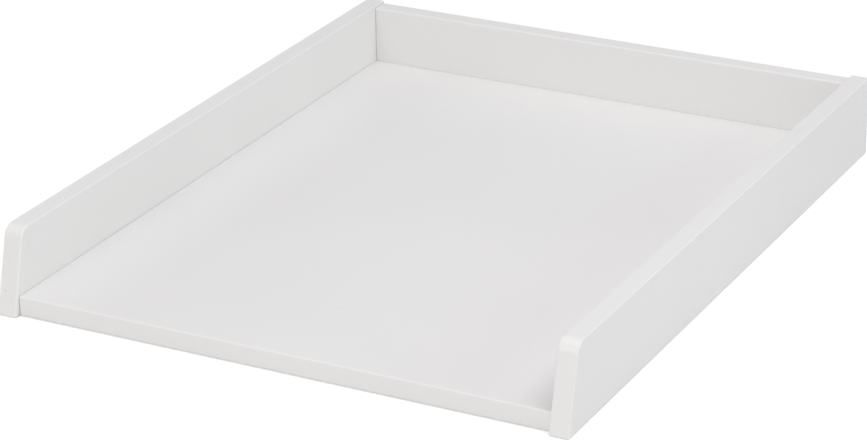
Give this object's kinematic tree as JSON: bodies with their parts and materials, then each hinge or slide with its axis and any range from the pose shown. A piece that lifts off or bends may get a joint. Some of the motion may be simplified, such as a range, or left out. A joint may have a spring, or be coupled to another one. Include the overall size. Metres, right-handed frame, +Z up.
{
  "type": "changing tray",
  "caption": "Open-front changing tray: flat base board with a low board along each side and a low back board, made to lie on a chest of drawers and hold a changing mat.",
  "frame": {"origin": "middle of the tray's footprint, on the surface that it lies on", "axes": "+Z up, +Y from the open front towards the back board, +X towards the right-hand side board seen from the open front"},
  "size_m": [0.568, 0.7074, 0.081],
  "materials": {
    "lacquer": "satin white lacquer over smooth fibreboard, edges eased",
    "beech": "raw fluted beech",
    "zinc": "grey zinc die casting, slightly grainy",
    "steel": "bright zinc-plated steel",
    "plastic": "white moulded plastic, fine matt grain"
  },
  "bodies": {
    "root": {"base_panel": "lacquer", "left_side_panel": "lacquer", "right_side_panel": "lacquer", "back_panel": "lacquer", "base_dowel_left_front": "beech", "base_dowel_left_middle": "beech", "base_dowel_left_rear": "beech", "base_dowel_right_front": "beech", "base_dowel_right_middle": "beech", "base_dowel_right_rear": "beech", "end_dowel_left": "beech", "end_dowel_right": "beech", "foot_dowel_left": "beech", "foot_dowel_right": "beech", "base_cam_bolt_left_front": "steel", "base_cam_bolt_left_rear": "steel", "base_cam_bolt_right_front": "steel", "base_cam_bolt_right_rear": "steel", "end_cam_bolt_left": "steel", "end_cam_bolt_right": "steel", "back_screw_left": "steel", "back_screw_middle": "steel", "back_screw_right": "steel", "base_cam_left_front": "zinc", "base_cam_left_rear": "zinc", "base_cam_right_front": "zinc", "base_cam_right_rear": "zinc", "end_cam_left": "zinc", "end_cam_right": "zinc", "cam_cap_left": "plastic", "cam_cap_right": "plastic"}
  },
  "joints": []
}
